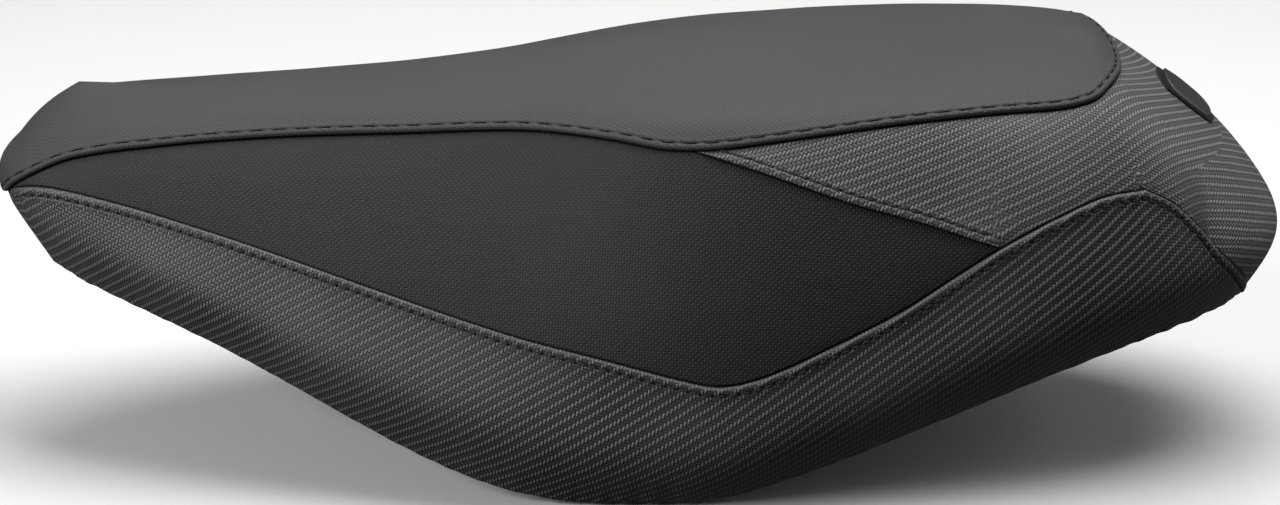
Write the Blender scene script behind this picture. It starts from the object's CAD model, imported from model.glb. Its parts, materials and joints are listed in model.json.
import bpy, json, math
import numpy as np
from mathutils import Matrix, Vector, kdtree, noise


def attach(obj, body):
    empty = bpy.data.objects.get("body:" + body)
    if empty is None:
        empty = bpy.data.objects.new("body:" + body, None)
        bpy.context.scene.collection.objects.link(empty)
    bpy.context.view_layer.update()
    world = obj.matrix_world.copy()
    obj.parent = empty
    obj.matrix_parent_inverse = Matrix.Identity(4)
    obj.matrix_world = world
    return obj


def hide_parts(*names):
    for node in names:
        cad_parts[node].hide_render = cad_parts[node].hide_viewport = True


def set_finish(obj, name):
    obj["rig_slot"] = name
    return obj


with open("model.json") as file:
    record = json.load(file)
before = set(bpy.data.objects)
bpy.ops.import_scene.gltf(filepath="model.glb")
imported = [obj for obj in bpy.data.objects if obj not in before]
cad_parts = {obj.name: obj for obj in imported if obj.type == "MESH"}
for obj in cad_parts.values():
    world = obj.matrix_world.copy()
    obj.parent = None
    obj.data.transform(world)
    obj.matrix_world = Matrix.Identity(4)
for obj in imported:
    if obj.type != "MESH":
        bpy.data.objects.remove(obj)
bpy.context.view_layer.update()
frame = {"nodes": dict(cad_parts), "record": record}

SEAT = "seat"

# ---------------------------------------------------------------- style lines (mm), as in the solids
LENGTH_K, X_SHIFT, Z_LIFT = .983, 3.95, 4.12
RIM = [(-333, 0, 101), (-333, 33, 100), (-303, 60, 90), (-222, 92, 66), (-141, 121, 26), (-64, 141, -4),
       (8, 143, -1), (48, 142, -2), (150, 131, 37), (263, 109, 77), (336, 65, 88), (336, 0, 88)]
ROLL = [(-348, 0, 125), (-348, 33, 124), (-322, 62, 114), (-233, 104, 92), (-146, 137, 58), (-63, 161, 28),
        (10, 166, 22), (52, 164, 24), (155, 150, 66), (289, 122, 107), (351, 66, 114), (351, 0, 114)]
SHOULDER = [(-346, 0, 154), (-346, 30, 154), (-322, 50, 162), (-232, 50, 172), (-145, 55, 177),
            (-68, 72, 183), (-14, 108, 187), (45, 122, 192), (150, 114, 201), (246, 94, 203),
            (255, 58, 203), (255, 0, 203)]
CROWN = [(-311, 0, 185), (-305, 0, 185), (-282, 0, 184), (-230, 0, 185), (-145, 0, 189), (-80, 0, 197),
         (-20, 0, 209), (45, 0, 213), (140, 0, 212), (212, 0, 210), (224, 0, 209), (229, 0, 209)]
FULLNESS = [1, 1, 1, 1, 1, 1, 1, 1, 1, 1.3, 1.9, 1.9]
TOP_SEAM = [(0, .275), (.04, .29), (.062, .388), (.085, .47), (.114, .55), (.146, .584), (.18, .597),
            (.25, .612), (.356, .621), (.485, .635), (.553, .621), (.60, .602), (.63, .598), (.70, .606),
            (.76, .615), (.82, .616), (.87, .609), (.893, .619), (.92, .648), (.945, .658), (.97, .65),
            (1, .64)]
BAND_SEAM = [(0, .275), (.04, .29), (.062, .362), (.08, .398), (.10, .415), (.125, .413), (.152, .40),
             (.222, .361), (.29, .338), (.36, .324), (.433, .312), (.514, .298), (.591, .274), (.634, .258),
             (.664, .258), (.712, .274), (.751, .296), (.806, .356), (.836, .383), (.866, .399), (.887, .392),
             (1, .392)]
PATCH_SEAM = [(.624, .594), (.673, .548), (.727, .478), (.774, .414), (.806, .356)]
END_SEAM = [(0, .962), (.078, .938), (.189, .918), (.283, .91), (.366, .897), (.392, .888)]
U_TIP, U_PATCH, U_JOIN, U_END, V_MID = .06, .624, .806, .888, .392


def style(row):
    a = np.array(row, float)
    return a * [LENGTH_K, 1, 1] + [X_SHIFT, 0, Z_LIFT]


def skin_net():
    rim, roll, shoulder, crown = map(style, (RIM, ROLL, SHOULDER, CROWN))
    t = np.zeros((12, 2))
    t[1:-1] = roll[2:, :2] - roll[:-2, :2]
    t[0], t[-1] = (0, 1), (0, -1)
    o = np.stack([-t[:, 1], t[:, 0], np.zeros(12)], 1)
    o /= np.linalg.norm(o, axis=1, keepdims=True)
    o[:2], o[-2:] = (-1, 0, 0), (1, 0, 0)
    mix = lambda a, b, k: a + (b - a) * k
    bulge = o * np.array(FULLNESS)[:, None]
    rows = [rim, mix(roll, rim, .55), roll,
            mix(roll, shoulder, .22) + 5 * bulge, mix(roll, shoulder, .5) + 9 * bulge,
            mix(roll, shoulder, .8) + 7 * bulge,
            shoulder, mix(shoulder, crown, .16) + [0, 0, 4], mix(shoulder, crown, .55) + [0, 0, 5],
            mix(shoulder, crown, .85) + [0, 0, 1.5], crown]
    rows[9][2:10, 2] = crown[2:10, 2]
    n = np.array(rows)
    n[:, 0, 1] = n[:, -1, 1] = 0
    return n


NET = skin_net()


def bmat(n, t, p=3):
    k = np.concatenate([[0] * p, np.linspace(0, 1, n - p + 1), [1] * p])
    t = np.clip(t, 0, 1 - 1e-12)
    b = ((t[:, None] >= k[None, :-1]) & (t[:, None] < k[None, 1:])).astype(float)
    for q in range(1, p + 1):
        c = np.zeros((len(t), n + p - q))
        for i in range(n + p - q):
            d1, d2 = k[i + q] - k[i], k[i + q + 1] - k[i + 1]
            if d1 > 0:
                c[:, i] += (t - k[i]) / d1 * b[:, i]
            if d2 > 0:
                c[:, i] += (k[i + q + 1] - t) / d2 * b[:, i + 1]
        b = c
    return b


def surf(net, u, v):
    u, v = np.broadcast_arrays(np.asarray(u, float), np.asarray(v, float))
    bu, bv = bmat(net.shape[1], u.ravel()), bmat(net.shape[0], v.ravel())
    m = (bv @ net.reshape(net.shape[0], -1)).reshape(-1, net.shape[1], 3)
    return np.einsum("ni,nik->nk", bu, m).reshape(u.shape + (3,))


def skin(u, v):
    return surf(NET, u, v)


def unit(a):
    return a / np.maximum(np.linalg.norm(a, axis=-1, keepdims=True), 1e-12)


def derivs(net, u, v, e=5e-4):
    u, v = np.clip(u, 1e-4, 1 - 1e-4), np.clip(v, 1e-4, 1 - 1e-4)
    corner = (v > .995) & ((u < .01) | (u > .99))
    u = np.where(corner, np.where(u < .5, .012, .988), u)
    v = np.where(corner, .99, v)
    u1, u0, v1, v0 = np.clip(u + e, 0, 1), np.clip(u - e, 0, 1), np.clip(v + e, 0, 1), np.clip(v - e, 0, 1)
    su = (surf(net, u1, v) - surf(net, u0, v)) / (u1 - u0)[..., None]
    sv = (surf(net, u, v1) - surf(net, u, v0)) / (v1 - v0)[..., None]
    return su, sv


def normals(net, u, v):
    su, sv = derivs(net, u, v)
    n = np.cross(sv, su)
    plane = (u <= 1e-9) | (u >= 1 - 1e-9) | (v >= 1 - 1e-9)
    n[..., 1] = np.where(plane, 0, n[..., 1])
    return unit(n)


def through(pts):
    p = np.array(pts, float)
    h, d = np.diff(p[:, 0]), np.diff(p[:, 1]) / np.diff(p[:, 0])
    m = np.concatenate([[d[0]], (d[:-1] * h[1:] + d[1:] * h[:-1]) / (h[:-1] + h[1:]), [d[-1]]])

    def f(x):
        x = np.asarray(x, float)
        i = np.clip(np.searchsorted(p[:, 0], x) - 1, 0, len(p) - 2)
        t = (x - p[i, 0]) / h[i]
        return ((1 + 2 * t) * (1 - t) ** 2 * p[i, 1] + t * (1 - t) ** 2 * h[i] * m[i]
                + t * t * (3 - 2 * t) * p[i + 1, 1] + t * t * (t - 1) * h[i] * m[i + 1])
    return f


v_top, v_band, u_end = through(TOP_SEAM), through(BAND_SEAM), through(END_SEAM)
PATCH_SEAM[0] = (U_PATCH, float(v_top(U_PATCH)))
PATCH_SEAM[-1] = (U_JOIN, float(v_band(U_JOIN)))
v_patch = through(PATCH_SEAM)

# ---------------------------------------------------------------- seams as fine 3-D lines on the half
def dense(u, v):
    """The line's (u, v), points and running length, at about 0.3 mm steps."""
    p = skin(u, v)
    s = np.concatenate([[0], np.cumsum(np.linalg.norm(np.diff(p, axis=0), axis=1))])
    k = np.linspace(0, s[-1], int(s[-1] / .3))
    u, v = np.interp(k, s, u), np.interp(k, s, v)
    return u, v, skin(u, v), k


q = np.linspace(0, 1, 4000)
ub = U_TIP + (U_END - U_TIP) * q
vb = V_MID * (1 - q)
up = U_PATCH + (U_JOIN - U_PATCH) * q
LINES = {"top": dense(q, v_top(q)),
         "band": dense(np.concatenate([ub, u_end(vb)]), np.concatenate([v_band(ub), vb])),
         "patch": dense(up, v_patch(up)),
         "nose": dense(q * 0, q * v_top(0.0))}
TREES = {}
for k, (u, v, p, s) in LINES.items():
    t = kdtree.KDTree(len(p))
    for i, c in enumerate(p):
        t.insert(c, i)
    t.balance()
    TREES[k] = t


def to_line(name, pts):
    """Distance to a seam line, and the length along it, of each point."""
    find, s = TREES[name].find, LINES[name][3]
    d, a = np.empty(len(pts)), np.empty(len(pts))
    for i, p in enumerate(pts):
        _, j, r = find(p)
        d[i], a[i] = r, s[j]
    return d, a


PITCH = 6.0
SEW = {"top": 3.6, "band": 4.6, "patch": 4.5}      # sewing line from the fold
FOLD = {"top": 1.7, "band": 1.9, "patch": 1.6}     # height of the folded edge
END_S = float(LINES["band"][3][np.argmax(LINES["band"][0] >= U_END - 1e-4)])
ROLES = {"top": ("top",), "band": ("band",), "rear": ("patch",), "insert": ()}
UNDERS = {"top": (), "band": ("top",), "rear": ("top", "band"), "insert": ("top", "band", "patch")}


def beyond(line, u, v):
    if line == "top":
        return v > v_top(u)
    if line == "patch":
        return (v > v_patch(np.clip(u, U_PATCH, U_JOIN))) & (u > U_PATCH) & (u < U_JOIN)
    if line == "band":
        return np.where(u < U_END, v < v_band(u), (v < V_MID) & (u < u_end(np.clip(v, 0, V_MID))))


def smooth(x, a, b):
    t = np.clip((x - a) / (b - a), 0, 1)
    return t * t * (3 - 2 * t)


def over_profile(line, d, along):
    """Height of a folded, topstitched edge at distance d from its fold."""
    sew, fold = SEW[line], FOLD[line]
    if line == "band":
        fold = fold * (1 - .45 * smooth(along, END_S + 12, END_S + 60))
    edge = fold * np.sqrt(np.clip(1 - (1 - np.clip(d, 0, 1.2) / 1.2) ** 2, 0, 1))
    bead = edge + .30 * np.sin(np.pi * np.clip(d / sew, 0, 1)) * (d < sew)
    beyond_sew = np.clip(d - sew, 0, None)
    h = np.where(d < sew, bead, fold * (.45 * np.exp(-beyond_sew / 2.2) + .55 * np.exp(-beyond_sew / 14)))
    hole = .5 + .5 * np.cos(2 * np.pi * along / PITCH)
    h -= (.55 + .75 * hole ** 3) * np.exp(-((d - sew) / (.62 + .25 * hole)) ** 2)
    h += .22 * hole ** 2 * np.exp(-((d - sew - 1.3) / .8) ** 2)
    h += .15 * (1 - hole) * np.exp(-((d - .55 * sew) / 1.2) ** 2)
    h -= .14 * hole * np.exp(-((d - sew - 3.2) / 1.8) ** 2)
    return h


def under_profile(d):
    """Height of a panel that runs in under a folded edge."""
    return -.55 * np.exp(-np.clip(d, 0, None) / 8) - 2.3 * (1 - smooth(d, -1.6, 1.3))


RIM_S = dense(q, q * 0)


def gathers(s):
    """Uneven folds, -1.6 to 1.6, at length s along the rim."""
    wide = np.sin(2 * np.pi * s / 19 + 1.7 * np.sin(2 * np.pi * s / 97))
    narrow = np.sin(2 * np.pi * s / 11.3 + 2.2 * np.sin(2 * np.pi * s / 61))
    return wide + .6 * narrow


def height(kind, P, u, v):
    """Height over the style surface, and how deep in a seam's shade each point is."""
    pts = P.reshape(-1, 3)
    uu, vv = u.ravel(), v.ravel()
    ho, hu, shade, worn = np.zeros((4, len(pts)))
    cover, near = np.ones(len(pts)), np.full(len(pts), 1e3)
    for line in UNDERS[kind]:
        d, a = to_line(line, pts)
        sd = np.where(beyond(line, uu, vv), -d, d)
        hu = np.minimum(hu, under_profile(sd))
        cover *= smooth(sd, -1, 7)
        shade = np.maximum(shade, 1 - smooth(sd, .2, 1.7))
        near = np.minimum(near, d)
    for line in ROLES[kind]:
        d, a = to_line(line, pts)
        ho = over_profile(line, d, a)
        hole = .5 + .5 * np.cos(2 * np.pi * a / PITCH)
        shade = np.maximum(shade,
                           (.45 + .5 * hole ** 3) * np.exp(-((d - SEW[line]) / (.45 + .3 * hole)) ** 2))
        worn = np.maximum(worn, np.exp(-((d - .9) / .6) ** 2))
        worn = np.maximum(worn, .8 * hole ** 4 * np.exp(-((d - SEW[line] - 1.1) / .5) ** 2))
        near = np.minimum(near, d)
    h = ho * cover + hu
    if kind in ("band", "rear"):
        # gathers where the cover is pulled round the rim
        rim = np.clip(vv, 0, 1) * 300
        s = np.interp(uu, RIM_S[0], RIM_S[3])
        g = gathers(s)
        bends = ((.09, .07), (.55, .12), (.92, .05))
        turn = .35 + .65 * sum(np.exp(-((uu - at) / width) ** 2) for at, width in bends)
        h += .30 * g * turn * np.exp(-rim / 13)
        if kind == "band":
            dn, _ = to_line("nose", pts)
            h -= 1.0 * np.exp(-(dn / 1.6) ** 2)
            shade = np.maximum(shade, np.exp(-(dn / .9) ** 2))
    h += .7 * (1 - np.exp(-near / 22)) * cover
    # slow unevenness of the hand-stretched cover
    w = np.array([noise.noise(Vector((p[0] / 46, p[1] / 46 + 7, p[2] / 30))) for p in pts])
    h += .32 * w * cover
    return h.reshape(u.shape), shade.reshape(u.shape), worn.reshape(u.shape)


# ---------------------------------------------------------------- graded grids
FOLDED = [(2.8, -1.5), (1.3, -1.42), (.4, -1.1), (.02, -.5), (.0, .2), (.16, .85), (.5, 1.4)]


def over_rows(sew):
    near = [-.95, -.5, -.2, .1, .45, .85, 1.3, 1.9, 2.8, 4.6, 7.5]
    return [d for d, _ in FOLDED] + [.85, 1.3, 1.8, 2.3] + [sew + d for d in near]


OVER_D = over_rows(SEW["band"])
UNDER_D = [-5.5, -3.6, -2.2, -1.1, -.4, .1, .5, .9, 1.3, 1.8, 2.4, 3.0, 3.7, 4.4, 5.2, 6.1, 7.1, 8.2, 9.5,
           11.2, 13.3, 16.0]
PLAIN_D = [.7 * i for i in range(len(OVER_D))]
RIM_D = [0, .6, 1.3, 2.1, 3.0, 4.2, 5.6, 7.2, 9.0, 11.0, 13.5, 16.0]
EDGES = {"over_top": over_rows(SEW["top"]), "over_band": OVER_D, "over_patch": over_rows(SEW["patch"]),
         "under": UNDER_D, "plain": PLAIN_D, "rim": RIM_D, "centre": [0.0],
         "nose": [0, .5, 1.0, 1.6, 2.4, 3.6, 5.2]}


def columns(f, s, e0, e1, rows):
    """Places a column's points by real distance from both its ends.

    f(s, t) gives (u, v), and e0 and e1 name the kind of edge at each end of every column.
    """
    n, m = len(s), 161
    t = np.linspace(-.06, 1.06, m)
    S, T = np.meshgrid(s, t, indexing="ij")
    u, v = f(S, T)
    P = skin(np.clip(u, 0, 1), np.clip(v, 0, 1))
    # lengths along each column; places past the surface are held at its edge
    L = np.cumsum(np.concatenate([np.zeros((n, 1)), np.linalg.norm(np.diff(P, axis=1), axis=2)], 1), axis=1)
    L0 = np.array([np.interp(0.0, t, L[i]) for i in range(n)])
    L1 = np.array([np.interp(1.0, t, L[i]) for i in range(n)])

    def slant(at):
        uu, vv = f(s, np.full(n, at))
        p = skin(uu, vv)
        tau = np.gradient(p, axis=0)
        uu, vv = f(s, np.full(n, at + (.01 if at < .5 else -.01)))
        w = skin(uu, vv) - p
        k = np.linalg.norm(np.cross(unit(tau), unit(w)), axis=1)
        return 1 / np.clip(k, .5, 1)

    k0, k1 = slant(0.0), slant(1.0)
    n0, n1 = len(EDGES[e0[0]]), len(EDGES[e1[0]])
    out_u, out_v = np.empty((n, n0 + n1 + rows)), np.empty((n, n0 + n1 + rows))
    for i in range(n):
        a, b = np.array(EDGES[e0[i]]) * k0[i], np.array(EDGES[e1[i]]) * k1[i]
        full = L1[i] - L0[i]
        room = max(a.max(), 0) + max(b.max(), 0)
        c = min(1.0, .86 * max(full, .05) / room) if room > 0 else 1.0
        a, b = np.where(a > 0, a * c, a), np.where(b > 0, b * c, b)
        inner = np.linspace(a[-1], full - b[-1], rows + 2)[1:-1]
        d = np.concatenate([a, inner, full - b[::-1]])
        tt = np.interp(d + L0[i], L[i], t)
        out_u[i], out_v[i] = f(np.full(len(d), s[i]), tt)
    return out_u, out_v


def folded_rows(n_t, e, at_end):
    """Heights set by hand for the rows of a fold's underside, or nan."""
    h = np.full(n_t, np.nan)
    if e.startswith("over"):
        vals = [x for _, x in FOLDED]
        if at_end:
            h[-len(vals):] = vals[::-1]
        else:
            h[:len(vals)] = vals
    return h


def build(kind, u, v, fold):
    """Displaced points of one grid block."""
    uc, vc = np.clip(u, 0, 1), np.clip(v, 0, 1)
    P, N = skin(uc, vc), normals(NET, uc, vc)
    h, shade, worn = height(kind, P, uc, vc)
    f = np.where(np.isnan(fold), h, fold)
    deep = np.zeros_like(h)
    for line in UNDERS[kind]:
        d, _ = to_line(line, P.reshape(-1, 3))
        sd = np.where(beyond(line, uc.ravel(), vc.ravel()), -d, d).reshape(u.shape)
        deep = np.minimum(deep, -2.6 * (1 - smooth(sd, 0, 3)))
    f = np.where(np.isnan(fold), h, np.minimum(f, np.maximum(f + deep, -2.6)))
    shade = np.where(np.isnan(fold) | (fold > .5), shade, 1.0)
    return P + N * f[..., None], shade, worn


def hem_rows(u):
    """The margin of the cover turned in under the pan's rim: points inward from the rim line."""
    p = skin(u, u * 0)
    t = skin(np.clip(u + .002, 0, 1), u * 0) - skin(np.clip(u - .002, 0, 1), u * 0)
    t[..., 2] = 0
    t = unit(t)
    inward = np.stack([t[..., 1], -t[..., 0], t[..., 0] * 0], -1)
    plane = (u <= 1e-9) | (u >= 1 - 1e-9)
    inward[..., 1] = np.where(plane, 0, inward[..., 1])
    inward = unit(inward)
    s = np.interp(u, RIM_S[0], RIM_S[3])
    g = gathers(s)
    rows = []
    for w, z in ((.7, -.30), (1.6, -.48), (2.8, -.55), (4.4, -.58), (6.5, -.60), (9.0, -.62), (11.5, -.6)):
        rows.append(p + inward * w + np.stack([s * 0, s * 0, z + .16 * g * min(w / 3, 1)], -1))
    return rows[::-1]


# ---------------------------------------------------------------- meshes
def mesh_of(name, verts, faces, attrs=None, uv=None, smooth_shade=True):
    me = bpy.data.meshes.new(name)
    me.from_pydata((np.asarray(verts) / 1000).tolist(), [], [list(map(int, f)) for f in faces])
    me.update()
    for k, a in (attrs or {}).items():
        at = me.attributes.new(k, "FLOAT", "POINT")
        at.data.foreach_set("value", np.asarray(a, np.float32))
    if uv is not None:
        lay = me.uv_layers.new(name="weave")
        idx = np.empty(len(me.loops), np.int32)
        me.loops.foreach_get("vertex_index", idx)
        lay.data.foreach_set("uv", np.asarray(uv, np.float32)[idx].ravel())
    if smooth_shade:
        me.polygons.foreach_set("use_smooth", [True] * len(me.polygons))
    ob = bpy.data.objects.new(name, me)
    bpy.context.scene.collection.objects.link(ob)
    return ob


def quads(n, m, base=0, flip=False):
    i, j = np.meshgrid(np.arange(n - 1), np.arange(m - 1), indexing="ij")
    a = base + i * m + j
    f = np.stack([a, a + m, a + m + 1, a + 1], -1).reshape(-1, 4)
    return f[:, ::-1] if flip else f


def arap(V3, T, uv0, it=30):
    """Flattens a coarse patch with as little stretch as it can, as its vinyl was cut."""
    n = len(V3)
    a, b, c = V3[T[:, 0]], V3[T[:, 1]], V3[T[:, 2]]
    e1 = unit(b - a)
    nn = unit(np.cross(b - a, c - a))
    e2 = np.cross(nn, e1)
    X = np.stack([np.zeros((len(T), 2)), np.stack([((b - a) * e1).sum(1), ((b - a) * e2).sum(1)], 1),
                  np.stack([((c - a) * e1).sum(1), ((c - a) * e2).sum(1)], 1)], 1)
    L = np.zeros((n, n))
    W = []
    for k in range(3):
        i, j, o = k, (k + 1) % 3, (k + 2) % 3
        p, r = X[:, i] - X[:, o], X[:, j] - X[:, o]
        cot = (p * r).sum(1) / np.maximum(np.abs(p[:, 0] * r[:, 1] - p[:, 1] * r[:, 0]), 1e-6)
        cot = np.clip(cot, .02, 20) * .5
        W.append(cot)
        I, J = T[:, i], T[:, j]
        np.add.at(L, (I, I), cot)
        np.add.at(L, (J, J), cot)
        np.add.at(L, (I, J), -cot)
        np.add.at(L, (J, I), -cot)
    L += np.eye(n) * 1e-9
    L[0, 0] += 1
    inv = np.linalg.inv(L)
    uv = uv0.astype(float)
    for _ in range(it):
        C = np.zeros((len(T), 2, 2))
        for k in range(3):
            i, j = k, (k + 1) % 3
            flat_edge = (uv[T[:, i]] - uv[T[:, j]])[:, :, None]
            true_edge = (X[:, i] - X[:, j])[:, None, :]
            C += W[k][:, None, None] * flat_edge * true_edge
        th = np.arctan2(C[:, 1, 0] - C[:, 0, 1], C[:, 0, 0] + C[:, 1, 1])
        R = np.stack([np.stack([np.cos(th), -np.sin(th)], 1), np.stack([np.sin(th), np.cos(th)], 1)], 1)
        rhs = np.zeros((n, 2))
        for k in range(3):
            i, j = k, (k + 1) % 3
            w = W[k][:, None] * np.einsum("nab,nb->na", R, X[:, i] - X[:, j])
            np.add.at(rhs, T[:, i], w)
            np.add.at(rhs, T[:, j], -w)
        rhs[0] += uv0[0]
        uv = inv @ rhs
    return uv


def bend(uv, at, radius, turn):
    """Cloth coordinates that turn downward past a corner, as where a panel is pulled round it."""
    d = uv - at
    c = np.array([0, -radius])
    r = np.hypot(d[:, 0] - c[0], d[:, 1] - c[1])
    phi = np.arctan2(d[:, 0], d[:, 1] + radius)
    out = np.where((phi < 0)[:, None], d, np.stack([radius * phi, r - radius], 1))
    ca, sa = math.cos(turn), math.sin(turn)
    e = d - c
    last = np.stack([e[:, 0] * ca - e[:, 1] * sa + radius * turn, e[:, 0] * sa + e[:, 1] * ca - radius], 1)
    return np.where((phi > turn)[:, None], last, out)


def pick(n, k):
    r = list(range(0, n, k))
    if r[-1] != n - 1:
        if n - 1 - r[-1] < k // 2 + 1 and len(r) > 2:
            r.pop()
        r.append(n - 1)
    return np.array(r)


def spread(grid, ci, cj, cuv):
    """Coarse flat coordinates carried to every point of a block by its own lengths."""
    n, m = grid.shape[:2]
    si = np.concatenate([np.zeros((1, m)), np.cumsum(np.linalg.norm(np.diff(grid, axis=0), axis=2), 0)])
    tj = np.concatenate([np.zeros((n, 1)), np.cumsum(np.linalg.norm(np.diff(grid, axis=1), axis=2), 1)], 1)
    a = np.clip(np.searchsorted(ci, np.arange(n), side="right") - 1, 0, len(ci) - 2)
    b = np.clip(np.searchsorted(cj, np.arange(m), side="right") - 1, 0, len(cj) - 2)
    wi = (si - si[ci[a]][:, :]) / np.maximum(si[ci[a + 1]] - si[ci[a]], 1e-6)
    wj = (tj - tj[:, cj[b]]) / np.maximum(tj[:, cj[b + 1]] - tj[:, cj[b]], 1e-6)
    wi, wj = np.clip(wi, 0, 1)[..., None], np.clip(wj, 0, 1)[..., None]
    A, B = a[:, None], b[None, :]
    return ((1 - wi) * (1 - wj) * cuv[A, B] + wi * (1 - wj) * cuv[A + 1, B] + (1 - wi) * wj
            * cuv[A, B + 1] + wi * wj * cuv[A + 1, B + 1])


COARSE = (9, 5)       # every so many grid points, the panel is flattened
BOTH = (1, -1)


def panel(name, blocks, sides, start, nodes, slot, turned=None):
    """One sewn panel from its grids of (points, shade, worn), for each flank in sides."""
    allv, allf, sh, wo, cv, cf, place = [], [], [], [], [], [], []
    base = cbase = 0
    for sg in sides:
        for G, s, w in blocks:
            g = G * [1, sg, 1]
            n, m = g.shape[:2]
            allv.append(g.reshape(-1, 3))
            sh.append(s.ravel())
            wo.append(w.ravel())
            allf.append(quads(n, m, base, flip=(sg < 0)))
            ci, cj = pick(n, COARSE[0]), pick(m, COARSE[1])
            c = g[np.ix_(ci, cj)]
            cv.append(c.reshape(-1, 3))
            cf.append(quads(len(ci), len(cj), cbase, flip=(sg < 0)))
            place.append((g, ci, cj, cbase))
            base += n * m
            cbase += len(ci) * len(cj)
    V, F, CV, CF = np.concatenate(allv), np.concatenate(allf), np.concatenate(cv), np.concatenate(cf)
    # weld the coarse copy, flatten it, and hand its coordinates to every fine point
    key = np.round(CV / .02).astype(np.int64)
    _, first, back = np.unique(key, axis=0, return_index=True, return_inverse=True)
    back = back.ravel()
    CW = CV[first]
    f4 = back[CF]
    T = np.concatenate([f4[:, [0, 1, 2]], f4[:, [0, 2, 3]]])
    ok = (T[:, 0] != T[:, 1]) & (T[:, 1] != T[:, 2]) & (T[:, 0] != T[:, 2])
    area = np.linalg.norm(np.cross(CW[T[:, 1]] - CW[T[:, 0]], CW[T[:, 2]] - CW[T[:, 0]]), axis=1)
    T = T[ok & (area > 1e-3)]
    flat0 = start(CW)
    a, b, c = flat0[T[:, 0]], flat0[T[:, 1]], flat0[T[:, 2]]
    up = (b[:, 0] - a[:, 0]) * (c[:, 1] - a[:, 1]) - (b[:, 1] - a[:, 1]) * (c[:, 0] - a[:, 0])
    T = T if (up > 0).mean() > .5 else T[:, ::-1]
    flat = arap(CW, T, flat0)[back]
    uv = [spread(g, ci, cj, flat[b0:b0 + len(ci) * len(cj)].reshape(len(ci), len(cj), 2)).reshape(-1, 2)
          for g, ci, cj, b0 in place]
    UV = np.concatenate(uv)
    if turned:
        at, radius, turn = turned
        UV = bend(UV, UV[np.argmin(np.linalg.norm(V - np.array(at), axis=1))], radius, math.radians(turn))
    UV = UV / 10
    ob = mesh_of(name, V, F, {"shade": np.concatenate(sh), "worn": np.concatenate(wo)}, UV)
    bm_weld(ob)
    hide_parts(*nodes)
    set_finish(ob, slot)
    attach(ob, SEAT)
    return ob


def bm_weld(ob, d=2e-5):
    import bmesh
    bm = bmesh.new()
    bm.from_mesh(ob.data)
    bmesh.ops.remove_doubles(bm, verts=bm.verts, dist=d)
    bmesh.ops.dissolve_degenerate(bm, edges=bm.edges, dist=1e-7)
    bmesh.ops.recalc_face_normals(bm, faces=bm.faces)
    bm.to_mesh(ob.data)
    bm.free()


def along(f_edge, lo, hi, step, ends=((), ())):
    """Even steps along an edge line, with finer steps at its ends."""
    k = np.linspace(lo, hi, 3000)
    u, v = f_edge(k)
    p = skin(u, v)
    s = np.concatenate([[0], np.cumsum(np.linalg.norm(np.diff(p, axis=0), axis=1))])
    a, b = np.array(ends[0] or [0.0]), np.array(ends[1] or [0.0])
    n = max(int((s[-1] - a[-1] - b[-1]) / step), 4)
    d = np.concatenate([a, np.linspace(a[-1], s[-1] - b[-1], n + 1)[1:-1], s[-1] - b[::-1]])
    return np.interp(d, s, k)


STEP = 1.45
blocks = {}

# top panel: from its seam to the crown line
f = lambda s, t: (s, v_top(s) + (1 - v_top(s)) * t)
s = along(lambda k: (k, v_top(k)), 0, 1, STEP)
u, v = columns(f, s, ["over_top"] * len(s), ["centre"] * len(s), 22)
fold = np.tile(folded_rows(u.shape[1], "over", False), (len(s), 1))
v[:, -1] = 1.0
u[0], u[-1] = 0, 1
blocks["top"] = [build("top", u, v, fold)]

# insert: between the band seam and the top and patch seams
v_up = lambda x: np.where(x < U_PATCH, v_top(x), v_patch(np.clip(x, U_PATCH, U_JOIN)))
f = lambda s, t: (s, v_band(s) + (v_up(s) - v_band(s)) * t)
s = along(lambda k: (k, v_band(k)), .045, U_JOIN - 1e-4, STEP * 1.3)
u, v = columns(f, s, ["under"] * len(s), ["under"] * len(s), 20)
blocks["insert"] = [build("insert", u, v, np.full(u.shape, np.nan))]

# band: from the rim to its seam, round to the end seam
def f_band(s, t):
    e = u_end(np.clip(V_MID * t, 0, V_MID))
    uu = s * e / U_END
    return uu, np.minimum(t, 1.06) * v_band(np.clip(uu, 0, 1))


def along_band():
    k = along(lambda k: f_band(k, k * 0 + .8), 0, U_END, STEP, (EDGES["nose"], [0.0]))
    # columns near the end seam are placed by distance from it
    d = np.array(OVER_D)
    kk = np.linspace(U_END - .06, U_END, 800)
    uu, vv = f_band(kk, kk * 0 + .6)
    p = skin(uu, vv)
    L = np.concatenate([[0], np.cumsum(np.linalg.norm(np.diff(p, axis=0), axis=1))])
    end = np.interp(L[-1] - d * 1.05, L, kk)
    k = k[k < end.min() - .001]
    return np.concatenate([k, end[::-1]])


s = along_band()
kinds = ["over_band" if x > .056 else "under" for x in s]
u, v = columns(f_band, s, ["rim"] * len(s), kinds, 20)
fold = np.tile(folded_rows(u.shape[1], "over", True), (len(s), 1))
fold[[i for i, k in enumerate(kinds) if k == "under"]] = np.nan
endf = folded_rows(len(s), "over", True)
fold = np.fmin(fold, endf[:, None])
u[0] = 0
G, sh, wo = build("band", u, v, fold)
hem = np.stack(hem_rows(u[:, 0]), 1)
cat = lambda x, n, val=0.0: np.concatenate([np.full((x.shape[0], n), val), x], 1)
G = np.concatenate([hem, G], 1)
blocks["band"] = [(G, cat(sh, 7, .25), cat(wo, 7))]

# rear panel: the patch along the side, then the tail's face
low_edge = lambda x: np.where(x < U_JOIN, v_patch(np.clip(x, U_PATCH, U_JOIN)),
                              np.where(x < U_END, v_band(x), V_MID))
f1 = lambda s, t: (s, low_edge(s) + (v_top(s) - low_edge(s)) * t)


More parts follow.
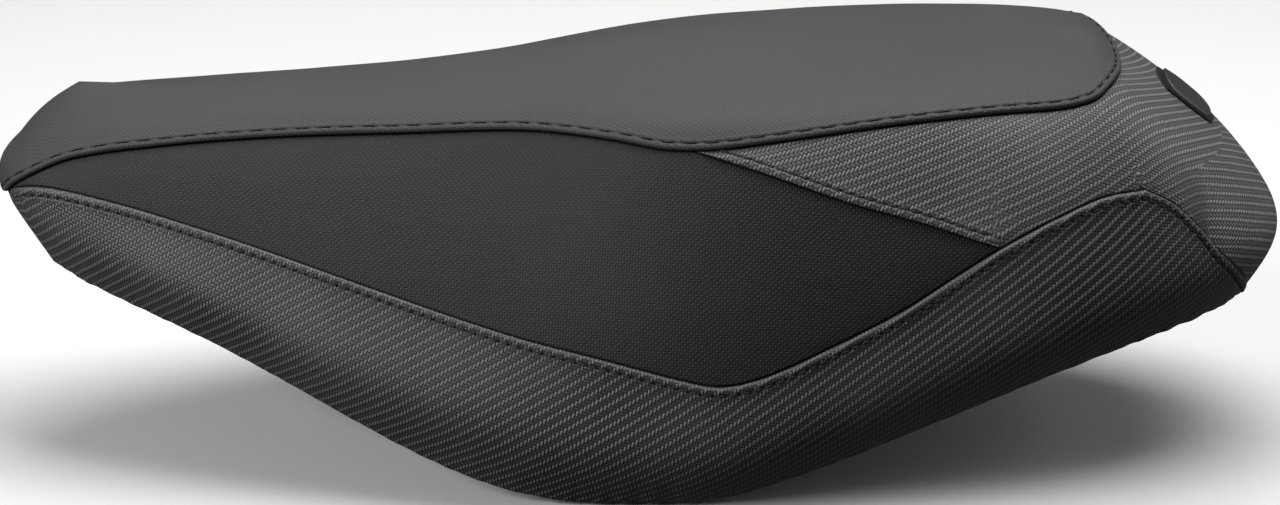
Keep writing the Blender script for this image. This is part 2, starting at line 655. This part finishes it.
def f2(s, t):
    e = u_end(np.clip(V_MID * t, 0, V_MID))
    e = np.where(t > 1, U_END, e)
    return e + (1 - e) * s, V_MID * t


kk = np.linspace(-.1, 1, 2000)
uu, vv = f2(kk, kk * 0 + .8)
p = skin(uu, vv)
L = np.concatenate([[0], np.cumsum(np.linalg.norm(np.diff(p, axis=0), axis=1))])
L -= np.interp(0, kk, L)
d2 = np.concatenate([UNDER_D, np.linspace(UNDER_D[-1], L[-1], int(L[-1] / STEP))[1:]])
s2 = np.interp(d2, L, kk)
s2[-1] = 1
sa = along(lambda k: (k, v_top(k)), U_PATCH + 1e-4, U_END, STEP)
sb = U_END + (1 - U_END) * s2[s2 >= 0]
s1 = np.concatenate([sa[:-1], sb])
e0 = ["over_patch" if x < U_JOIN - .002 else "under" if x < U_END - 1e-9 else "plain" for x in s1]
u1, v1 = columns(f1, s1, e0, ["under"] * len(s1), 16)
fold1 = np.full(u1.shape, np.nan)
fr = folded_rows(u1.shape[1], "over", False)
for i, k in enumerate(e0):
    if k == "over_patch":
        fold1[i] = fr
    if k == "plain":
        v1[i, 0] = V_MID
u1[-1] = 1
u2, v2 = columns(f2, s2, ["rim"] * len(s2), ["centre"] * len(s2), 34)
v2[:, -1] = V_MID
u2[:, -1] = U_END + (1 - U_END) * s2
u2[-1] = 1
G2, sh2, wo2 = build("rear", u2, v2, np.full(u2.shape, np.nan))
hem = np.stack(hem_rows(np.clip(u2[:, 0], 0, 1)), 1)
G2 = np.concatenate([hem, G2], 1)
blocks["rear"] = [build("rear", u1, v1, fold1), (G2, cat(sh2, 7, .25), cat(wo2, 7))]

# ---------------------------------------------------------------- the sewn panels
def start_side(V):
    """One flank laid out as it is seen from outside."""
    return np.stack([V[:, 0] * np.where(V[:, 1].mean() < 0, 1, -1), V[:, 2]], 1)


def start_top(V):
    return V[:, :2].copy()


def start_wrap(V):
    """Both flanks and the nose or tail laid out round the plan outline."""
    ang = np.arctan2(V[:, 1], V[:, 0] * .35)
    return np.stack([ang * 160, V[:, 2]], 1)


PANELS = {}
PANELS["top"] = panel("top_panel", blocks["top"], BOTH, start_top, ["cover_top_panel"], "vinyl_ribbed")
for side, sg in (("left", -1), ("right", 1)):
    PANELS["insert_" + side] = panel("insert_" + side, blocks["insert"], (sg,), start_side,
                                     ["cover_insert_" + side], "vinyl_woven")
    PANELS["band_" + side] = panel("band_" + side, blocks["band"], (sg,), start_side,
                                   ["cover_band_" + side], "vinyl_carbon")
PANELS["rear"] = panel("rear_panel", blocks["rear"], BOTH, start_wrap, ["cover_rear_panel"], "vinyl_carbon",
                       turned=((250, -96, 176), 90, 22))


# ---------------------------------------------------------------- foam and hem tape
def inset_row(d, z=None, dz=0.0):
    rim = style(RIM)
    t = np.zeros((12, 2))
    t[1:-1] = rim[2:, :2] - rim[:-2, :2]
    o = np.stack([-t[:, 1], t[:, 0], np.zeros(12)], 1)
    o[:2], o[-2:] = (-1, 0, 0), (1, 0, 0)
    o = unit(o)
    r = rim - d * o
    r[:, 2] = rim[:, 2] + dz
    r[1, 1] = min(rim[1, 1], .5 * r[2, 1])
    r[-2, 1] = min(rim[-2, 1], .5 * r[-3, 1])
    r[0, 1] = r[-1, 1] = 0
    if z is not None:
        r[:, 2] += (120.0 - r[:, 2]) * z
    return r


def pan_net():
    a, b = inset_row(36, 1, 3), inset_row(46, 1, 3)
    mid = b * [.97, 0, 0] + [0, 0, 120.0]
    return np.array([inset_row(2.6, dz=3), inset_row(8, dz=3), inset_row(16, dz=3), inset_row(21, dz=3),
                     inset_row(25, .25, 3),
                     inset_row(31, .75, 3), a, b, b + (mid - b) * .35, b + (mid - b) * .7, mid])


def both_halves(G):
    """A half grid and its mirror image as one welded mesh."""
    n, m = G.shape[:2]
    points = np.concatenate([G.reshape(-1, 3), (G * [1, -1, 1]).reshape(-1, 3)])
    return points, np.concatenate([quads(n, m), quads(n, m, n * m, True)])


s = along(lambda k: (k, k * 0 + .3), 0, 1, 5.0)
S, T = np.meshgrid(s, np.linspace(.02, 1, 44), indexing="ij")
out = skin(S, T) - normals(NET, S, T) * 3.4
S, T = np.meshgrid(s, np.linspace(.02, 1, 30), indexing="ij")
PN = pan_net()
low = surf(PN, S, T) + [0, 0, .5]
ring = np.concatenate([low[:, ::-1], out], 1)
V, F = both_halves(ring)
foam = mesh_of("foam_core", V, F)
bm_weld(foam)
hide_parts("foam_cushion")
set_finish(foam, "foam")
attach(foam, SEAT)

s = along(lambda k: (k, k * 0), 0, 1, 2.2)
t_in = [(8.2, -.78), (8.0, -1.05), (8.4, -1.42), (10.5, -1.5), (13.0, -1.5), (15.2, -1.5), (17.0, -1.42),
        (17.5, -1.0), (17.1, -.42), (15.0, -.36), (12.6, -.36), (12.0, -.70), (8.2, -.78)]
base = skin(s, s * 0)
t = skin(np.clip(s + .002, 0, 1), s * 0) - skin(np.clip(s - .002, 0, 1), s * 0)
inw = unit(np.stack([t[:, 1], -t[:, 0], t[:, 0] * 0], 1))
inw[[0, -1], 1] = 0
inw = unit(inw)
tape = np.stack([base + inw * a + [0, 0, b] for a, b in t_in], 1)
V, F = both_halves(tape)
hem_tape = mesh_of("hem_tape", V, F)
bm_weld(hem_tape)
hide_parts("cover_hem")
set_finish(hem_tape, "vinyl_plain")
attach(hem_tape, SEAT)


# ---------------------------------------------------------------- stitches
def solve_uv(u, v, target):
    for _ in range(3):
        p = skin(u, v)
        su, sv = derivs(NET, u, v)
        r = target - p
        a, b, c = (su * su).sum(1), (su * sv).sum(1), (sv * sv).sum(1)
        x, y = (su * r).sum(1), (sv * r).sum(1)
        det = np.maximum(a * c - b * b, 1e-6)
        u = np.clip(u + (c * x - b * y) / det, 0, 1)
        v = np.clip(v + (a * y - b * x) / det, 0, 1)
    return u, v


def stitches(line, kind, out_sign, trim):
    """Thread along a seam: one short sunk tube for each stitch."""
    u, v, p, s = LINES[line]
    n = int((s[-1] - trim[0] - trim[1]) / PITCH)
    ring, hops = 6, 9
    verts, faces = [], []
    for k in range(n):
        c = trim[0] + (k + .5) * PITCH
        c = (round(c / PITCH - .5) + .5) * PITCH
        d = c + np.linspace(-2.6, 2.6, hops)
        uu, vv = np.interp(d, s, u), np.interp(d, s, v)
        P = skin(uu, vv)
        N = normals(NET, uu, vv)
        tau = unit(np.gradient(P, axis=0))
        b = unit(np.cross(N, tau)) * out_sign
        u2, v2 = solve_uv(uu, vv, P + b * SEW[line])
        h, _, _ = height(kind, skin(u2, v2)[None], u2[None], v2[None])
        x = np.linspace(-1, 1, hops)
        lift = .30 * (1 - np.abs(x) ** 3.2) - 1.0 * np.abs(x) ** 6
        C = skin(u2, v2) + normals(NET, u2, v2) * (h[0][hops // 2] + .12 + lift)[:, None]
        tau = unit(np.gradient(C, axis=0))
        B = unit(np.cross(N, tau))
        M = np.cross(tau, B)
        rad = .46 * (1 - .35 * np.abs(x) ** 4)
        a = np.linspace(0, 2 * np.pi, ring, endpoint=False)
        R = C[:, None] + rad[:, None,
                             None] * (np.cos(a)[None, :, None] * B[:, None] + np.sin(a)[None, :, None]
                                      * M[:, None])
        o = len(verts)
        verts += list(R.reshape(-1, 3))
        for i in range(hops - 1):
            for j in range(ring):
                q0, q1 = o + i * ring + j, o + i * ring + (j + 1) % ring
                faces.append((q0, q1, q1 + ring, q0 + ring))
        faces.append(tuple(o + j for j in range(ring))[::-1])
        faces.append(tuple(o + (hops - 1) * ring + j for j in range(ring)))
    V = np.array(verts)
    return V, faces


def thread(name, line, kind, sign, trim):
    V, F = stitches(line, kind, sign, trim)
    n = len(V)
    V2 = V * [1, -1, 1]
    F2 = [tuple(i + n for i in f)[::-1] for f in F]
    ob = mesh_of(name, np.concatenate([V, V2]), F + F2)
    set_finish(ob, "vinyl_plain")
    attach(ob, SEAT)
    return ob


THREADS = [thread("stitching_top", "top", "top", -1, (3, 2)),
           thread("stitching_band", "band", "band", 1, (14, 6)),
           thread("stitching_patch", "patch", "rear", -1, (8, 6))]

# ---------------------------------------------------------------- materials
class Nodes:
    """Short forms for building a material's nodes."""

    def __init__(self, name):
        self.mat = bpy.data.materials.new(name)
        self.mat.use_nodes = True
        self.tree = self.mat.node_tree
        self.shader = self.tree.nodes["Principled BSDF"]

    def add(self, kind, inputs=None, **props):
        n = self.tree.nodes.new(kind)
        for k, v in props.items():
            setattr(n, k, v)
        for k, v in (inputs or {}).items():
            self.put(n.inputs[k], v)
        return n

    def put(self, socket, v):
        if isinstance(v, bpy.types.NodeSocket):
            self.tree.links.new(v, socket)
        else:
            socket.default_value = v

    def math(self, op, a, b=0.0, c=0.0):
        return self.add("ShaderNodeMath", {0: a, 1: b, 2: c}, operation=op).outputs[0]

    def mix(self, f, a, b):
        n = self.add("ShaderNodeMix", {0: f, 6: a, 7: b}, data_type="RGBA")
        return n.outputs[2]

    def ramp(self, x, a, b):
        return self.add("ShaderNodeMapRange", {0: x, 1: a, 2: b}, clamp=True).outputs[0]

    def noise(self, scale, detail=3.0, coords=None, rough=.5):
        c = coords or self.add("ShaderNodeTexCoord").outputs["Object"]
        return self.add("ShaderNodeTexNoise",
                        {"Vector": c, "Scale": scale, "Detail": detail, "Roughness": rough}).outputs[0]

    def attribute(self, name):
        return self.add("ShaderNodeAttribute", attribute_name=name).outputs["Fac"]

    def bump(self, height, distance, strength=1.0, after=None):
        n = self.add("ShaderNodeBump", {"Strength": strength, "Distance": distance, "Height": height})
        if after is not None:
            self.put(n.inputs["Normal"], after)
        return n.outputs[0]

    def set(self, **values):
        for k, v in values.items():
            self.put(self.shader.inputs[k.replace("_", " ")], v)


def rgb(r, g, b):
    return (r, g, b, 1.0)


def weave_cells(n, angle, cell_mm):
    """The flat cover's coordinates, turned and counted in threads."""
    uv = n.add("ShaderNodeUVMap", uv_map="weave").outputs[0]
    k = 10 / cell_mm
    turned = n.add("ShaderNodeMapping",
                   {"Vector": uv, "Rotation": (0, 0, -math.radians(angle)), "Scale": (k, k, k)}).outputs[0]
    xyz = n.add("ShaderNodeSeparateXYZ", {0: turned})
    return xyz.outputs[0], xyz.outputs[1]


def float_height(n, across, along):
    a = n.math("MULTIPLY_ADD", across, 2.0, -1.0)
    b = n.math("MULTIPLY_ADD", along, 2.0, -1.0)
    a = n.math("SUBTRACT", 1.0, n.math("POWER", n.math("ABSOLUTE", a), 2.2))
    b = n.math("SUBTRACT", 1.0, n.math("POWER", n.math("ABSOLUTE", b), 2.6))
    return n.math("MULTIPLY", a, b)


def twill(n, angle, cell_mm, repeat=4.0, floats=2.0, flat=.4):
    """Height and upright-thread mask of a twill with floats over the given number of threads."""
    x, y = weave_cells(n, angle, cell_mm)
    fx, fy = n.math("FRACT", x), n.math("FRACT", y)
    i, j = n.math("FLOOR", x), n.math("FLOOR", y)
    m = n.math("FLOORED_MODULO", n.math("SUBTRACT", i, j), repeat)
    upright = n.math("LESS_THAN", m, floats - .5)
    along_up = n.math("DIVIDE", n.math("ADD", n.math("SUBTRACT", floats - 1, m), fy), floats)
    rest = repeat - floats
    along_flat = n.math("DIVIDE", n.math("ADD", n.math("SUBTRACT", m, floats), fx), rest)
    h_up, h_flat = float_height(n, fx, along_up), float_height(n, fy, along_flat)
    low = n.math("MULTIPLY", h_flat, flat)
    both = n.add("ShaderNodeMix", {0: upright, 2: low, 3: h_up}, data_type="FLOAT").outputs[0]
    return both


def cover_vinyl(name, weave, light, dark, depth, rough, wear, coat=0.0):
    """Printed and embossed seat vinyl: weave, fine grain, dusty seams and edges polished by use."""
    n = Nodes(name)
    height = weave(n)
    tone = n.mix(n.ramp(height, .03, .72), dark, light)
    patches = n.ramp(n.noise(9.0, 4.0), .3, .7)
    tone = n.mix(n.math("MULTIPLY", patches, .22), tone, rgb(*(c * 1.5 for c in light[:3])))
    tone = n.mix(n.math("MULTIPLY", n.attribute("worn"), wear), tone, rgb(.30, .31, .31))
    tone = n.mix(n.math("MULTIPLY", n.attribute("shade"), .88), tone, rgb(.006, .006, .007))
    grain = n.noise(1900.0, 2.0)
    spread = n.math("MULTIPLY_ADD", patches, .08, rough)
    spread = n.math("MULTIPLY_ADD", grain, .10, spread)
    normal = n.bump(height, depth)
    normal = n.bump(grain, .00008, 1.0, normal)
    n.set(Base_Color=tone, Roughness=spread, Normal=normal)
    n.shader.inputs["Specular IOR Level"].default_value = .45
    n.shader.inputs["Coat Weight"].default_value = coat
    n.shader.inputs["Coat Roughness"].default_value = .35
    return n.mat


def plain_vinyl():
    n = Nodes("vinyl_plain")
    grain = n.add("ShaderNodeTexVoronoi",
                  {"Vector": n.add("ShaderNodeTexCoord").outputs["Object"], "Scale": 1400.0}).outputs[0]
    n.set(Base_Color=n.mix(n.noise(60.0), rgb(.018, .018, .019), rgb(.04, .041, .042)),
          Roughness=n.math("MULTIPLY_ADD", grain, .2, .42), Normal=n.bump(grain, .00012))
    return n.mat


def sewing_thread():
    n = Nodes("sewing_thread")
    c = n.add("ShaderNodeTexCoord").outputs["Object"]
    ply = n.add("ShaderNodeTexWave", {"Vector": c, "Scale": 900.0, "Distortion": 1.0},
                bands_direction="DIAGONAL").outputs[1]
    n.set(Base_Color=n.mix(ply, rgb(.003, .003, .003), rgb(.012, .012, .013)), Normal=n.bump(ply, .0001))
    n.shader.inputs["Roughness"].default_value = .6
    n.shader.inputs["Sheen Weight"].default_value = .2
    return n.mat


def foam_cells():
    n = Nodes("foam")
    cells = n.add("ShaderNodeTexVoronoi",
                  {"Vector": n.add("ShaderNodeTexCoord").outputs["Object"], "Scale": 520.0}).outputs[0]
    n.set(Base_Color=n.mix(cells, rgb(.050, .050, .052), rgb(.020, .020, .021)), Normal=n.bump(cells, .0006))
    n.shader.inputs["Roughness"].default_value = .92
    return n.mat


def pan_plastic():
    n = Nodes("pan_plastic")
    spark = n.noise(1300.0, 3.0)
    broad = n.noise(24.0, 4.0)
    tone = n.mix(n.ramp(broad, .35, .7), rgb(.014, .014, .015), rgb(.030, .030, .031))
    rough = n.math("MULTIPLY_ADD", broad, .2, n.math("MULTIPLY_ADD", spark, .15, .38))
    n.set(Base_Color=tone, Roughness=rough, Normal=n.bump(spark, .00012))
    return n.mat


def zinc():
    n = Nodes("zinc_steel")
    c = n.add("ShaderNodeTexCoord").outputs["Object"]
    cloud = n.noise(160.0, 5.0)
    brush = n.add("ShaderNodeTexNoise",
                  {"Vector": n.add("ShaderNodeMapping",
                                   {"Vector": c, "Scale": (60.0, 1400.0, 60.0)}).outputs[0], "Scale": 1.0,
                                   "Detail": 2.0}).outputs[0]
    tone = n.mix(n.ramp(cloud, .4, .7), rgb(.60, .60, .57), rgb(.45, .44, .38))
    n.set(Base_Color=tone,
          Roughness=n.math("MULTIPLY_ADD", brush, .22, n.math("MULTIPLY_ADD", cloud, .15, .18)),
          Normal=n.bump(brush, .00005))
    n.shader.inputs["Metallic"].default_value = 1.0
    return n.mat


def black_steel():
    n = Nodes("black_steel")
    edge = n.add("ShaderNodeNewGeometry").outputs["Pointiness"]
    chips = n.math("MULTIPLY", n.ramp(edge, .53, .60), n.ramp(n.noise(240.0, 4.0), .5, .58))
    orange = n.noise(420.0, 1.0)
    n.set(Base_Color=n.mix(chips, rgb(.016, .016, .018), rgb(.42, .41, .40)), Metallic=chips,
          Roughness=n.math("MULTIPLY_ADD", chips, .15, n.math("MULTIPLY_ADD", orange, .12, .30)),
          Normal=n.bump(orange, .00012))
    return n.mat


def chrome():
    n = Nodes("chrome_trim")
    fine = n.noise(30.0, 4.0)
    n.set(Base_Color=n.mix(fine, rgb(.72, .72, .73), rgb(.80, .80, .80)),
          Roughness=n.math("MULTIPLY_ADD", fine, .10, .06))
    n.shader.inputs["Metallic"].default_value = 1.0
    return n.mat


def gloss_black():
    n = Nodes("badge_black")
    peel = n.noise(160.0, 2.0)
    n.set(Base_Color=n.mix(peel, rgb(.006, .006, .007), rgb(.014, .014, .015)),
          Roughness=n.math("MULTIPLY_ADD", peel, .10, .10), Normal=n.bump(peel, .00003))
    return n.mat


def rubber():
    n = Nodes("rubber")
    dust = n.noise(90.0, 5.0)
    fine = n.noise(1600.0, 2.0)
    n.set(Base_Color=n.mix(n.ramp(dust, .45, .75), rgb(.016, .016, .016), rgb(.055, .053, .050)),
          Roughness=n.math("MULTIPLY_ADD", dust, .2, .62), Normal=n.bump(fine, .0001))
    return n.mat


def panel_weave(angle, cell, repeat=4.0, floats=2.0, flat=.4):
    return lambda n: twill(n, angle, cell, repeat, floats, flat)


MATERIALS = {
    "vinyl_ribbed": cover_vinyl("vinyl_ribbed", panel_weave(0, 1.5, 2.0, 1.0, .3), rgb(.060, .062, .060),
                                rgb(.034, .035, .034), .00018, .55, .05),
    "vinyl_woven": cover_vinyl("vinyl_woven", panel_weave(-2, 1.5, 2.0, 1.0, .25),
                               rgb(.028, .0295, .0295), rgb(.008, .0085, .0085), .00026, .55, .10),
    "vinyl_carbon": cover_vinyl("vinyl_carbon", panel_weave(-11, 1.66, 4.0, 2.0, .25),
                                rgb(.150, .153, .154), rgb(.002, .002, .0024), .00060, .33, .20, .10),
    "rear_carbon": cover_vinyl("rear_carbon", panel_weave(-43, 1.68), rgb(.230, .234, .235),
                               rgb(.004, .004, .0045), .00055, .33, .20, .10),
    "vinyl_plain": plain_vinyl(), "foam": foam_cells(), "pan_plastic": pan_plastic(), "zinc_steel": zinc(),
    "black_steel": black_steel(), "chrome_trim": chrome(), "badge_black": gloss_black(),
    "rubber": rubber(), "thread": sewing_thread()}


def paint(ob, mat):
    ob.data.materials.clear()
    ob.data.materials.append(mat)


for p in PANELS.values():
    paint(p, MATERIALS["rear_carbon" if p.name == "rear_panel" else p["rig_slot"]])
paint(foam, MATERIALS["foam"])
paint(hem_tape, MATERIALS["vinyl_plain"])
for p in THREADS:
    paint(p, MATERIALS["thread"])
for row in frame["record"]["subparts"]:
    node = frame["nodes"][row["node"]]
    if not node.hide_render:
        for sl in node.material_slots:
            sl.material = MATERIALS[row["material_slot"]]

# ---------------------------------------------------------------- floor, light and camera
def studio_floor():
    """Wide pale floor under the object."""
    prof = [(-7.0, 0.0), (-3.0, 0.0), (0.0, 0.0), (3.0, 0.0), (7.0, 0.0)]
    xs = np.linspace(-7, 7, 5)
    V = [(x * 1000, y * 1000, z * 1000 - .4) for x in xs for y, z in prof]
    ob = mesh_of("studio_floor", V, quads(len(xs), len(prof)))
    n = Nodes("paper")
    n.set(Base_Color=n.mix(n.noise(3.0), rgb(.86, .86, .86), rgb(.89, .89, .89)))
    n.shader.inputs["Roughness"].default_value = .8
    n.shader.inputs["Specular IOR Level"].default_value = .1
    paint(ob, n.mat)
    ob.visible_diffuse = ob.visible_glossy = False      # the vinyl gets its light from the lamps alone
    return ob


def softbox(name, at, look, size, watts):
    light = bpy.data.lights.new(name, "AREA")
    light.shape, light.size, light.size_y, light.energy = "RECTANGLE", size[0], size[1], watts
    lamp = bpy.data.objects.new(name, light)
    bpy.context.scene.collection.objects.link(lamp)
    lamp.location = at
    lamp.rotation_euler = (Vector(look) - Vector(at)).to_track_quat("-Z", "Y").to_euler()
    return lamp


studio_floor()
softbox("top", (.3, .35, 2.0), (0, 0, .1), (2.4, 1.6), 50)
softbox("key_left", (-1.9, -1.0, .95), (-.12, 0, .12), (1.1, .9), 36)
softbox("right_rear", (2.0, .1, .9), (.25, 0, .12), (1.2, 1.2), 7)
world = bpy.context.scene.world or bpy.data.worlds.new("world")
bpy.context.scene.world = world
world.use_nodes = True
world.node_tree.nodes["Background"].inputs[0].default_value = (1, 1, 1, 1)
world.node_tree.nodes["Background"].inputs[1].default_value = .06
bpy.context.scene.view_settings.view_transform = "Standard"

cam = bpy.data.cameras.new("camera")
cam.lens, cam.sensor_width = 111.9, 36
camera = bpy.data.objects.new("camera", cam)
bpy.context.scene.collection.objects.link(camera)
aim, el, far = Vector((.0007, 0, .0931)), math.radians(17.5), 2.175
camera.location = aim + Vector((0, -math.cos(el), math.sin(el))) * far
camera.rotation_euler = (aim - camera.location).to_track_quat("-Z", "Y").to_euler()
bpy.context.scene.camera = camera
